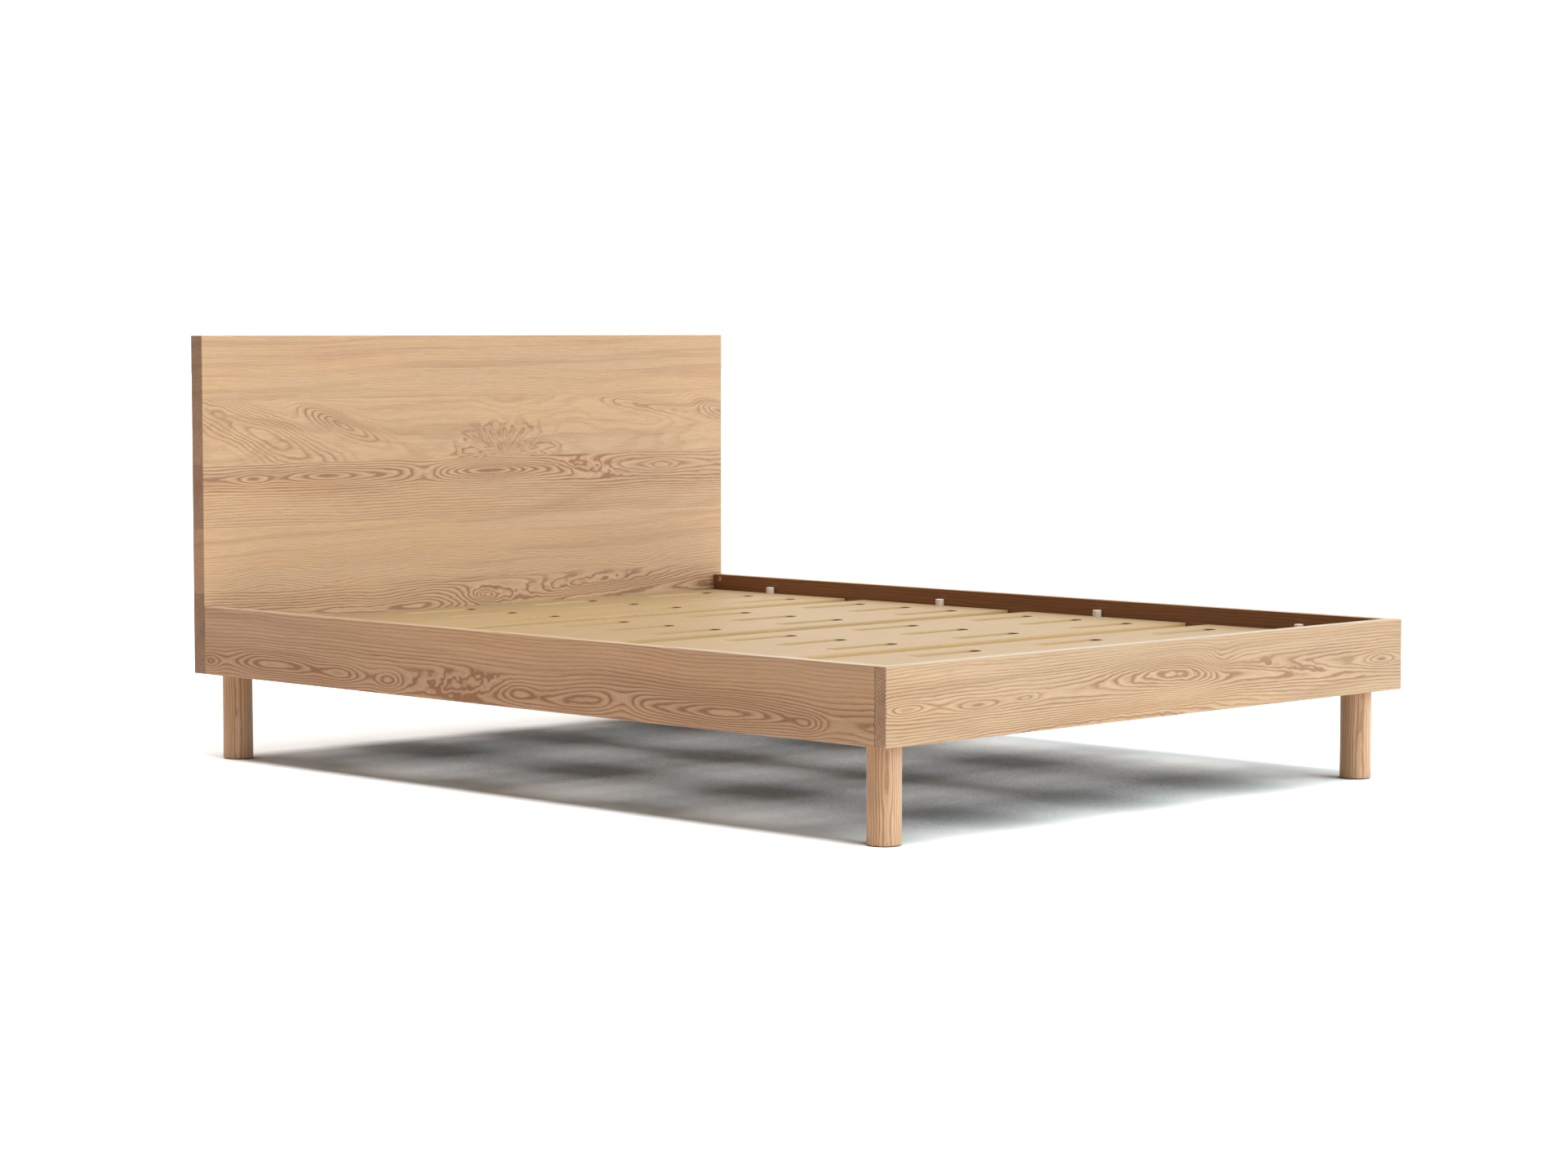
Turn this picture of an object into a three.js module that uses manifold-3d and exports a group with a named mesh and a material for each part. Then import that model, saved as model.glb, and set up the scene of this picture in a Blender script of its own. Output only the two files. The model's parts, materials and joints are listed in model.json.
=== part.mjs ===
// A queen-size wooden bed frame: headboard, rails, round legs and a loose deck of slotted plywood
// panels. Millimetres, +Z up, +Y towards the headboard, +X to the right seen from the foot end.
// The origin is on the floor, under the middle of the frame.

import * as THREE from "three";
import { mergeVertices } from "three/addons/utils/BufferGeometryUtils.js";
import Module from "manifold-3d";

const wasm = await Module();
wasm.setup();

// ---- Driving dimensions ----

// The mattress and the room around it
const MATTRESS_WIDTH = 1530;
const MATTRESS_LENGTH = 2030;
const MATTRESS_PLAY_ACROSS = 10;
const MATTRESS_PLAY_ALONG = 20;

// Boards
const RAIL_THICKNESS = 28;
const RAIL_HEIGHT = 150;
const HEADBOARD_THICKNESS = 40;
const HEADBOARD_HEIGHT = 750;
const UNDERSIDE_HEIGHT = 190;
const EASED_EDGE = 1.2;

// Every glued, screwed or resting face keeps this gap, and every fastener keeps it in its hole
const FIT_GAP = 0.3;

// A cutter that opens through a face runs this far past it
const CUT_PAST = 1;

// Deck
const DECK_DROP = 38;
const PANEL_COUNT = 4;
const PANEL_THICKNESS = 18;
const PANEL_GAP = 63;
const PANEL_END_CLEARANCE = 2.5;
const PANEL_SIDE_CLEARANCE = 6;
const PANEL_CORNER_RADIUS = 3;
const SLOT_ROWS = 3;
const SLOTS_PER_ROW = 4;
const SLOT_WIDTH = 36;
const SLOT_BRIDGE = 181;
const SLOT_EDGE_MARGIN = 92.5;
const SLOT_ROW_MARGIN = 85;

// Pegs that locate the panels
const PEG_DIAMETER = 20;
const PEG_STAND = 15;
const PEG_DEPTH = 20;
const PEG_RAIL_GAP = 2;
const PEG_OFFSET = 21;
const PEG_NOTCH_CLEARANCE = 0.6;
const PEG_CHAMFER = 0.8;

// Supports under the deck
const CLEAT_WIDTH = 30;
const CLEAT_HEIGHT = 40;
const CLEAT_SETBACK = 50;
const BEAM_WIDTH = 35;
const BEAM_HEIGHT = 70;
const HANGER_GAUGE = 2;
const HANGER_REACH = 45;
const HANGER_LIP = 42;
const HANGER_WING = 26;
const CORNER_BLOCK = 110;
const CORNER_BLOCK_CUT = 55;

// Legs
const LEG_DIAMETER = 66;
const LEG_INSET = 68;
const LEG_FOOT_RADIUS = 3;
const GLIDE_DIAMETER = 42;
const GLIDE_THICKNESS = 3;
const GLIDE_STAND = 1;
const GLIDE_CLEARANCE = 1;
const LEG_BOLT_DIAMETER = 10;
const LEG_BOLT_IN_LEG = 45;
const LEG_BOLT_IN_BLOCK = 42;
const INSERT_DIAMETER = 16;
const INSERT_LENGTH = 20;
const INSERT_FLANGE_DIAMETER = 22;
const INSERT_FLANGE = 2;

// Corner joints
const STUD_DIAMETER = 6;
const STUD_IN_HEADBOARD = 25;
const STUD_IN_FOOT_RAIL = 19;
const STUD_PAST_NUT = 14;
const NUT_DIAMETER = 12;
const NUT_LENGTH = 20;
const NUT_SETBACK = 22;
const NUT_RECESS = 1;
const NUT_SLOT = 1.6;
const UPPER_NUT_DROP = 11;
const LOWER_NUT_ABOVE_BLOCK = 19;

// Facets around each kind of round piece
const LEG_FACETS = 28;
const PEG_FACETS = 16;
const BORE_FACETS = 12;
const STUD_FACETS = 8;
const SLOT_END_STEPS = 6;

// ---- Places worked out from them ----

const INNER_WIDTH = MATTRESS_WIDTH + MATTRESS_PLAY_ACROSS;
const INNER_LENGTH = MATTRESS_LENGTH + MATTRESS_PLAY_ALONG;
const HALF_INNER = INNER_WIDTH / 2;
const HALF_WIDTH = HALF_INNER + RAIL_THICKNESS;
const LENGTH = HEADBOARD_THICKNESS + INNER_LENGTH + RAIL_THICKNESS;
const HEAD_BACK = LENGTH / 2;
const HEAD_FRONT = HEAD_BACK - HEADBOARD_THICKNESS;
const FOOT_FRONT = -LENGTH / 2;
const FOOT_BACK = FOOT_FRONT + RAIL_THICKNESS;
const RAIL_TOP = UNDERSIDE_HEIGHT + RAIL_HEIGHT;
const DECK_TOP = RAIL_TOP - DECK_DROP;
const DECK_BOTTOM = DECK_TOP - PANEL_THICKNESS;
const SUPPORT_TOP = DECK_BOTTOM - FIT_GAP;
const CLEAT_BOTTOM = SUPPORT_TOP - CLEAT_HEIGHT;
const BLOCK_TOP = CLEAT_BOTTOM - FIT_GAP;
const PANEL_WIDTH = INNER_WIDTH - 2 * PANEL_SIDE_CLEARANCE;
const PANEL_ROOM = INNER_LENGTH - 2 * PANEL_END_CLEARANCE - (PANEL_COUNT - 1) * PANEL_GAP;
const PANEL_LENGTH = PANEL_ROOM / PANEL_COUNT;
const PEG_X = HALF_INNER - PEG_RAIL_GAP - PEG_DIAMETER / 2;
const STUD_X = HALF_WIDTH - RAIL_THICKNESS / 2;
const STUD_HEIGHTS = {
  upper: RAIL_TOP - UPPER_NUT_DROP,
  lower: BLOCK_TOP + LOWER_NUT_ABOVE_BLOCK,
};
const SIDES = { left: -1, right: 1 };

// Each end of the bed: the face that the side rails butt against, and the way into the bed from it
const ENDS = {
  head: { face: HEAD_FRONT, inward: -1, outer: HEAD_BACK, studDepth: STUD_IN_HEADBOARD },
  foot: { face: FOOT_BACK, inward: 1, outer: FOOT_FRONT, studDepth: STUD_IN_FOOT_RAIL },
};

// ---- Materials ----

const FINISHES = {
  ash: { color: 0xd2a577, roughness: 0.55, metalness: 0 },
  plywood: { color: 0xd3b98f, roughness: 0.6, metalness: 0 },
  pine: { color: 0xd8b98a, roughness: 0.65, metalness: 0 },
  white_peg: { color: 0xddd3c8, roughness: 0.5, metalness: 0 },
  zinc_steel: { color: 0xa8a9ab, roughness: 0.4, metalness: 0.9 },
  felt: { color: 0x6b655e, roughness: 0.95, metalness: 0 },
};

// ---- Geometry helpers ----

// A closed three.js geometry as a solid that can be joined and cut
function solidFrom(geometry) {
  const bare = geometry.clone();
  bare.deleteAttribute("normal");
  bare.deleteAttribute("uv");
  const merged = mergeVertices(bare, 1e-4);
  return new wasm.Manifold(
    new wasm.Mesh({
      numProp: 3,
      vertProperties: new Float32Array(merged.attributes.position.array),
      triVerts: new Uint32Array(merged.index.array),
    }),
  );
}

// The solid's triangles as a three.js geometry
function geometryFrom(solid) {
  const mesh = solid.getMesh();
  const geometry = new THREE.BufferGeometry();
  geometry.setAttribute("position", new THREE.BufferAttribute(mesh.vertProperties, 3));
  geometry.setIndex(new THREE.BufferAttribute(mesh.triVerts, 1));
  geometry.computeVertexNormals();
  return geometry;
}

function cut(geometry, cutters) {
  const left = cutters.reduce((solid, cutter) => solid.subtract(solidFrom(cutter)), solidFrom(geometry));
  return geometryFrom(left);
}

function join(geometries) {
  return geometryFrom(geometries.map(solidFrom).reduce((whole, piece) => whole.add(piece)));
}

// A plain box between two corners, given in any order
function box(a, b) {
  const size = a.map((value, i) => Math.abs(b[i] - value));
  const middle = a.map((value, i) => (b[i] + value) / 2);
  return new THREE.BoxGeometry(...size).translate(...middle);
}

// A board between two corners, with every edge eased
function board(low, high) {
  const [dx, dy, dz] = low.map((value, i) => high[i] - value);
  const halfX = dx / 2 - EASED_EDGE;
  const halfY = dy / 2 - EASED_EDGE;
  const corner = EASED_EDGE / 2;
  const outline = new THREE.Shape();
  outline.moveTo(-halfX + corner, -halfY);
  outline.lineTo(halfX - corner, -halfY);
  outline.lineTo(halfX, -halfY + corner);
  outline.lineTo(halfX, halfY - corner);
  outline.lineTo(halfX - corner, halfY);
  outline.lineTo(-halfX + corner, halfY);
  outline.lineTo(-halfX, halfY - corner);
  outline.lineTo(-halfX, -halfY + corner);
  outline.closePath();
  const geometry = new THREE.ExtrudeGeometry(outline, {
    depth: dz - 2 * EASED_EDGE,
    bevelThickness: EASED_EDGE,
    bevelSize: EASED_EDGE,
    bevelSegments: 1,
  });
  return geometry.translate((low[0] + high[0]) / 2, (low[1] + high[1]) / 2, low[2] + EASED_EDGE);
}

// A turned piece standing on the floor plane: the profile runs [radius, height] up its outside
function turned(profile, facets) {
  const points = profile.map(([radius, height]) => new THREE.Vector2(radius, height));
  return new THREE.LatheGeometry(points, facets).rotateX(Math.PI / 2);
}

// A round bar from one point to another, with any facets
function bar(from, to, diameter, facets) {
  const start = new THREE.Vector3(...from);
  const along = new THREE.Vector3(...to).sub(start);
  const up = new THREE.Vector3(0, 1, 0);
  const turn = new THREE.Quaternion().setFromUnitVectors(up, along.clone().normalize());
  const geometry = new THREE.CylinderGeometry(diameter / 2, diameter / 2, along.length(), facets);
  const middle = start.addScaledVector(along, 0.5);
  return geometry.applyQuaternion(turn).translate(middle.x, middle.y, middle.z);
}

// A hole's diameter for a piece that keeps the usual gap all round
const holeFor = (diameter) => diameter + 2 * FIT_GAP;

// ---- Corner joints ----

// One stud and its barrel nut: where they are, and what they cut
function cornerJoint(side, end, z) {
  const { face, inward, studDepth } = ENDS[end];
  const x = SIDES[side] * STUD_X;
  const innerFace = SIDES[side] * HALF_INNER;
  const outward = SIDES[side];
  const nutY = face + inward * NUT_SETBACK;
  return {
    stud: { from: [x, face - inward * studDepth, z], to: [x, nutY + inward * STUD_PAST_NUT, z] },
    nut: {
      from: [innerFace + outward * NUT_RECESS, nutY, z],
      to: [innerFace + outward * (NUT_RECESS + NUT_LENGTH), nutY, z],
    },
  };
}

// Holes go a little past the pieces in them
function studHole({ stud }) {
  const past = Math.sign(stud.to[1] - stud.from[1]) * FIT_GAP;
  const from = [stud.from[0], stud.from[1] - past, stud.from[2]];
  const to = [stud.to[0], stud.to[1] + past, stud.to[2]];
  return bar(from, to, holeFor(STUD_DIAMETER), STUD_FACETS);
}

function nutHole({ nut }) {
  const outward = Math.sign(nut.to[0] - nut.from[0]);
  const from = [nut.from[0] - outward * 2 * NUT_RECESS, nut.from[1], nut.from[2]];
  const to = [nut.to[0] + outward * FIT_GAP, nut.to[1], nut.to[2]];
  return bar(from, to, holeFor(NUT_DIAMETER), BORE_FACETS);
}

const jointsAt = (side, end) => Object.values(STUD_HEIGHTS).map((z) => cornerJoint(side, end, z));

// ---- Boards ----

function headboard() {
  const low = [-HALF_WIDTH, HEAD_FRONT, UNDERSIDE_HEIGHT];
  const whole = board(low, [HALF_WIDTH, HEAD_BACK, UNDERSIDE_HEIGHT + HEADBOARD_HEIGHT]);
  return cut(whole, Object.keys(SIDES).flatMap((side) => jointsAt(side, "head").map(studHole)));
}

function footRail() {
  const whole = board([-HALF_WIDTH, FOOT_FRONT, UNDERSIDE_HEIGHT], [HALF_WIDTH, FOOT_BACK, RAIL_TOP]);
  return cut(whole, Object.keys(SIDES).flatMap((side) => jointsAt(side, "foot").map(studHole)));
}

function sideRail(side) {
  const xs = [SIDES[side] * HALF_INNER, SIDES[side] * HALF_WIDTH].sort((a, b) => a - b);
  const low = [xs[0], FOOT_BACK + FIT_GAP, UNDERSIDE_HEIGHT];
  const whole = board(low, [xs[1], HEAD_FRONT - FIT_GAP, RAIL_TOP]);
  const joints = Object.keys(ENDS).flatMap((end) => jointsAt(side, end));
  return cut(whole, joints.flatMap((joint) => [studHole(joint), nutHole(joint)]));
}

// ---- Corner fasteners ----

function barrelNut(joint) {
  const { from, to } = joint.nut;
  const outward = Math.sign(to[0] - from[0]);
  const slot = box(
    [from[0] - outward * NUT_SLOT, from[1] - NUT_DIAMETER, from[2] - NUT_SLOT / 2],
    [from[0] + outward * NUT_SLOT, from[1] + NUT_DIAMETER, from[2] + NUT_SLOT / 2],
  );
  return cut(bar(from, to, NUT_DIAMETER, BORE_FACETS), [studHole(joint), slot]);
}

const connectorStud = ({ stud }) => bar(stud.from, stud.to, STUD_DIAMETER, STUD_FACETS);

// ---- Legs ----

const LEG_BOTTOM = GLIDE_STAND;
const LEG_TOP = UNDERSIDE_HEIGHT - FIT_GAP;
const LEG_BOLT_BOTTOM = UNDERSIDE_HEIGHT - LEG_BOLT_IN_LEG;
const LEG_BOLT_TOP = UNDERSIDE_HEIGHT + LEG_BOLT_IN_BLOCK;

// The place of a leg's axis on the floor
function legPlace(side, end) {
  const { outer, inward } = ENDS[end];
  return [SIDES[side] * (HALF_WIDTH - LEG_INSET), outer + inward * LEG_INSET, 0];
}

function leg() {
  const radius = LEG_DIAMETER / 2;
  const recess = GLIDE_DIAMETER / 2 + GLIDE_CLEARANCE;
  const recessTop = GLIDE_THICKNESS + FIT_GAP;
  const boltHole = holeFor(LEG_BOLT_DIAMETER) / 2;
  const profile = [
    [0, recessTop],
    [recess, recessTop],
    [recess, LEG_BOTTOM],
  ];
  for (const angle of [0, 30, 60, 90]) {
    const turn = THREE.MathUtils.degToRad(angle);
    profile.push([
      radius - LEG_FOOT_RADIUS * (1 - Math.sin(turn)),
      LEG_BOTTOM + LEG_FOOT_RADIUS * (1 - Math.cos(turn)),
    ]);
  }
  profile.push([radius, LEG_TOP], [boltHole, LEG_TOP], [boltHole, LEG_BOLT_BOTTOM - FIT_GAP]);
  profile.push([0, LEG_BOLT_BOTTOM - FIT_GAP]);
  return turned(profile, LEG_FACETS);
}

function glide() {
  const radius = GLIDE_DIAMETER / 2;
  const edge = GLIDE_STAND / 2;
  const top = GLIDE_THICKNESS;
  return turned([[0, 0], [radius - edge, 0], [radius, edge], [radius, top], [0, top]], PEG_FACETS);
}

function legBolt() {
  const radius = LEG_BOLT_DIAMETER / 2;
  const bottom = LEG_BOLT_BOTTOM;
  return turned([[0, bottom], [radius, bottom], [radius, LEG_BOLT_TOP], [0, LEG_BOLT_TOP]], BORE_FACETS);
}

// The insert's outside, from its flange up; the block is cut to the same steps with the gap added
function insertSteps(gap) {
  const bottom = UNDERSIDE_HEIGHT + FIT_GAP;
  return {
    bottom,
    flange: [INSERT_FLANGE_DIAMETER / 2 + gap, bottom + INSERT_FLANGE + gap],
    barrel: [INSERT_DIAMETER / 2 + gap, bottom + INSERT_LENGTH + gap],
  };
}

function threadedInsert() {
  const { bottom, flange, barrel } = insertSteps(0);
  const bore = holeFor(LEG_BOLT_DIAMETER) / 2;
  const outside = [[flange[0], bottom], flange, [barrel[0], flange[1]], barrel];
  return turned([[bore, bottom], ...outside, [bore, barrel[1]], [bore, bottom]], BORE_FACETS);
}

// ---- Corner blocks ----

// The block fills the corner between two boards, with its free corner cut off.
// The leg bolt comes up through it.
function cornerBlock(side, end) {
  const { face, inward } = ENDS[end];
  const across = -SIDES[side];
  const cornerX = SIDES[side] * (HALF_INNER - FIT_GAP);
  const cornerY = face + inward * FIT_GAP;
  const free = CORNER_BLOCK - CORNER_BLOCK_CUT;
  const plan = [[0, 0], [CORNER_BLOCK, 0], [CORNER_BLOCK, free], [free, CORNER_BLOCK], [0, CORNER_BLOCK]];
  const corners = plan.map(([u, v]) => new THREE.Vector2(cornerX + across * u, cornerY + inward * v));
  const whole = new THREE.ExtrudeGeometry(new THREE.Shape(corners), {
    depth: BLOCK_TOP - UNDERSIDE_HEIGHT,
    bevelEnabled: false,
  });
  whole.translate(0, 0, UNDERSIDE_HEIGHT);
  const { flange, barrel } = insertSteps(FIT_GAP);
  const bolt = holeFor(LEG_BOLT_DIAMETER) / 2;
  const below = UNDERSIDE_HEIGHT - CUT_PAST;
  const top = LEG_BOLT_TOP + FIT_GAP;
  const steps = [[flange[0], below], flange, [barrel[0], flange[1]], barrel, [bolt, barrel[1]]];
  const hole = turned([[0, below], ...steps, [bolt, top], [0, top]], BORE_FACETS);
  return cut(whole, [hole.translate(...legPlace(side, end))]);
}

// ---- Deck ----

// Panel 1 is at the head. The notches for its pegs are off centre, and each next panel is turned
// end for end.
const FIRST_PANEL_CENTRE = HEAD_FRONT - PANEL_END_CLEARANCE - PANEL_LENGTH / 2;
const panelCentre = (index) => FIRST_PANEL_CENTRE - index * (PANEL_LENGTH + PANEL_GAP);
const pegShift = (index) => (index % 2 === 0 ? PEG_OFFSET : -PEG_OFFSET);

// A slot with round ends, centred at x, y, running across the bed
function slotPath(x, y, length) {
  const radius = SLOT_WIDTH / 2;
  const reach = length / 2 - radius;
  const path = new THREE.Path();
  path.absarc(x + reach, y, radius, -Math.PI / 2, Math.PI / 2, false);
  path.absarc(x - reach, y, radius, Math.PI / 2, (3 * Math.PI) / 2, false);
  path.closePath();
  return path;
}

function deckPanel(index) {
  const halfX = PANEL_WIDTH / 2;
  const halfY = PANEL_LENGTH / 2;
  const notch = PEG_DIAMETER / 2 + PEG_NOTCH_CLEARANCE;
  const shift = pegShift(index);
  const round = PANEL_CORNER_RADIUS;
  const quarter = Math.PI / 2;
  const outline = new THREE.Shape();
  outline.absarc(halfX - round, -halfY + round, round, -quarter, 0, false);
  outline.lineTo(halfX, shift - notch);
  outline.absarc(PEG_X, shift, notch, -quarter, quarter, true);
  outline.lineTo(halfX, shift + notch);
  outline.absarc(halfX - round, halfY - round, round, 0, quarter, false);
  outline.absarc(-halfX + round, halfY - round, round, quarter, 2 * quarter, false);
  outline.lineTo(-halfX, shift + notch);
  outline.absarc(-PEG_X, shift, notch, quarter, -quarter, true);
  outline.lineTo(-halfX, shift - notch);
  outline.absarc(-halfX + round, -halfY + round, round, 2 * quarter, 3 * quarter, false);
  outline.closePath();
  const bridges = (SLOTS_PER_ROW - 1) * SLOT_BRIDGE;
  const slotLength = (PANEL_WIDTH - 2 * SLOT_EDGE_MARGIN - bridges) / SLOTS_PER_ROW;
  const rowPitch = (PANEL_LENGTH - 2 * SLOT_ROW_MARGIN) / (SLOT_ROWS - 1);
  for (let row = 0; row < SLOT_ROWS; row += 1) {
    for (let column = 0; column < SLOTS_PER_ROW; column += 1) {
      const x = (column - (SLOTS_PER_ROW - 1) / 2) * (slotLength + SLOT_BRIDGE);
      const y = (row - (SLOT_ROWS - 1) / 2) * rowPitch;
      outline.holes.push(slotPath(x, y, slotLength));
    }
  }
  return new THREE.ExtrudeGeometry(outline, {
    depth: PANEL_THICKNESS,
    bevelEnabled: false,
    curveSegments: SLOT_END_STEPS,
  }).translate(0, panelCentre(index), DECK_BOTTOM);
}

const PEG_BOTTOM = SUPPORT_TOP - PEG_DEPTH;

function peg() {
  const radius = PEG_DIAMETER / 2;
  const top = DECK_TOP + PEG_STAND;
  const shoulder = [[radius, top - PEG_CHAMFER], [radius - PEG_CHAMFER, top]];
  return turned([[0, PEG_BOTTOM], [radius, PEG_BOTTOM], ...shoulder, [0, top]], PEG_FACETS);
}

// ---- Deck supports ----

function sideCleat(side) {
  const x = SIDES[side] * (HALF_INNER - FIT_GAP);
  const low = [x, FOOT_BACK + CLEAT_SETBACK, CLEAT_BOTTOM];
  const high = [x - SIDES[side] * CLEAT_WIDTH, HEAD_FRONT - CLEAT_SETBACK, SUPPORT_TOP];
  const holes = Array.from({ length: PANEL_COUNT }, (_, index) => {
    const at = [SIDES[side] * PEG_X, panelCentre(index) + pegShift(index)];
    const top = [...at, SUPPORT_TOP + CUT_PAST];
    return bar([...at, PEG_BOTTOM - FIT_GAP], top, holeFor(PEG_DIAMETER), PEG_FACETS);
  });
  return cut(box(low, high), holes);
}

const BEAM_BOTTOM = SUPPORT_TOP - BEAM_HEIGHT;
const BEAM_SETBACK = HANGER_GAUGE + 2 * FIT_GAP;

function centreBeam() {
  const low = [-BEAM_WIDTH / 2, FOOT_BACK + BEAM_SETBACK, BEAM_BOTTOM];
  return box(low, [BEAM_WIDTH / 2, HEAD_FRONT - BEAM_SETBACK, SUPPORT_TOP]);
}

// A folded steel pocket: a back plate with wings, a seat and two cheeks
function beamHanger(end) {
  const { face, inward } = ENDS[end];
  const back = face + inward * FIT_GAP;
  const front = back + inward * HANGER_GAUGE;
  const reach = back + inward * HANGER_REACH;
  const cheek = BEAM_WIDTH / 2 + FIT_GAP;
  const outside = cheek + HANGER_GAUGE;
  const seatTop = BEAM_BOTTOM - FIT_GAP;
  const seatBottom = seatTop - HANGER_GAUGE;
  const top = seatTop + HANGER_LIP;
  return join([
    box([-outside - HANGER_WING, back, seatBottom], [outside + HANGER_WING, front, top]),
    box([-outside, back, seatBottom], [outside, reach, seatTop]),
    box([-outside, back, seatBottom], [-cheek, reach, top]),
    box([cheek, back, seatBottom], [outside, reach, top]),
  ]);
}

// ---- Assembly ----

const bed = new THREE.Group();

function place(name, geometry, finish, position = [0, 0, 0]) {
  const mesh = new THREE.Mesh(geometry, new THREE.MeshStandardMaterial(FINISHES[finish]));
  mesh.name = name;
  mesh.position.set(...position);
  bed.add(mesh);
}

place("headboard", headboard(), "ash");
place("foot_rail", footRail(), "ash");
place("centre_beam", centreBeam(), "pine");

for (const side of Object.keys(SIDES)) {
  place(`side_rail_${side}`, sideRail(side), "ash");
  place(`side_cleat_${side}`, sideCleat(side), "pine");
}

for (const end of Object.keys(ENDS)) {
  place(`beam_hanger_${end}`, beamHanger(end), "zinc_steel");
  for (const side of Object.keys(SIDES)) {
    const corner = `${end}_${side}`;
    const under = legPlace(side, end);
    place(`leg_${corner}`, leg(), "ash", under);
    place(`glide_${corner}`, glide(), "felt", under);
    place(`leg_bolt_${corner}`, legBolt(), "zinc_steel", under);
    place(`threaded_insert_${corner}`, threadedInsert(), "zinc_steel", under);
    place(`corner_block_${corner}`, cornerBlock(side, end), "pine");
    for (const [level, z] of Object.entries(STUD_HEIGHTS)) {
      const joint = cornerJoint(side, end, z);
      place(`connector_stud_${corner}_${level}`, connectorStud(joint), "zinc_steel");
      place(`barrel_nut_${corner}_${level}`, barrelNut(joint), "zinc_steel");
    }
  }
}

for (let index = 0; index < PANEL_COUNT; index += 1) {
  place(`deck_panel_${index + 1}`, deckPanel(index), "plywood");
  for (const side of Object.keys(SIDES)) {
    const at = [SIDES[side] * PEG_X, panelCentre(index) + pegShift(index), 0];
    place(`peg_${side}_${index + 1}`, peg(), "white_peg", at);
  }
}

export default bed;
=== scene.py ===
import json
from math import cos, pi, radians, sin

import bmesh
import bpy
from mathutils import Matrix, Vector


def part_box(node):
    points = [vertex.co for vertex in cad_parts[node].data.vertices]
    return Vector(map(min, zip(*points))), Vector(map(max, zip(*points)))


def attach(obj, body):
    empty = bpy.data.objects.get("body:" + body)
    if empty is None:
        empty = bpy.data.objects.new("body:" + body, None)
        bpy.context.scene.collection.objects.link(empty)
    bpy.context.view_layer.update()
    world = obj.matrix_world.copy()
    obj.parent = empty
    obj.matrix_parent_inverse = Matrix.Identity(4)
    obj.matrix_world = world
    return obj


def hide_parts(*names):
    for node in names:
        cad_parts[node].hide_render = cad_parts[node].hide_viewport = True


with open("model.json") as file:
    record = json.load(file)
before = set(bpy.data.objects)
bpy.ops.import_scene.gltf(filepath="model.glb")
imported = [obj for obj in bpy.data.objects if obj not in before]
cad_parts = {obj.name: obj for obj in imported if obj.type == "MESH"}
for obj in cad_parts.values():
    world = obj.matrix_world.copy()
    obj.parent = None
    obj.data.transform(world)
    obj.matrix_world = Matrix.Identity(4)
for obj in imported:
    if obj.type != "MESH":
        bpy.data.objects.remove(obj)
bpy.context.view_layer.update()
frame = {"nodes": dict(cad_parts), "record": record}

MM = 0.001

# ---- Looks: colours are linear ----

HEADBOARD_PALE = (0.416, 0.251, 0.134)
ASH_PALE = (0.396, 0.238, 0.130)
ASH_LINE = (0.222, 0.1, 0.047)
FOOT_PALE = (0.384, 0.254, 0.145)
FOOT_LINE = (0.222, 0.110, 0.055)
LEG_PALE = (0.505, 0.320, 0.193)
LEG_LINE = (0.3, 0.154, 0.075)
PINE_PALE = (0.45, 0.34, 0.2)
PINE_LINE = (0.34, 0.2, 0.09)
PLY_FACE = (0.262, 0.171, 0.082)
PLY_STREAK = (0.229, 0.141, 0.061)
PLY_EDGE_LONG = (0.47, 0.288, 0.125)
PLY_EDGE_END = (0.37, 0.215, 0.082)
PEG_COLOUR = (0.6, 0.49, 0.41)
ZINC_COLOUR = (0.60, 0.60, 0.61)
PASSIVATED_COLOUR = (0.66, 0.64, 0.56)
FELT_COLOUR = (0.13, 0.12, 0.11)

EDGE_WEAR_REACH = 3 * MM
PLIES = 5

# What solid wood's colour is multiplied by, in its warmer patches, on worn edges, on end grain, as a painted
# highlight on its upward faces and as painted shade on the faces turned into the bed
SHADE_TINT = (1.0, 0.955, 0.90)
WORN_TINT = (1.05, 1.18, 1.30)
END_TINT = (1.0, 0.92, 0.86)
HEADBOARD_END_TINT = (0.83, 0.75, 0.75)
FOOT_END_TINT = (1.10, 1.0, 1.04)
TOP_HIGHLIGHT_TINT = (0.88, 1.06, 1.24)
INSIDE_SHADE_TINT = (0.58, 0.43, 0.34)
# The same for plywood's edges: on the glue lines, and across the veneer's grain for end grain and painted
# shade
GLUE_TINT = (0.50, 0.38, 0.28)
END_GRAIN_AND_SHADE_TINT = (0.42, 0.30, 0.22)

FLOOR_SIZE = 120
FLOOR_COLOUR = (0.98, 0.95, 0.92)
FLOOR_UNDER_BED = (0.037, 0.058, 0.089)


# ---- Shader graphs ----

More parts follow.
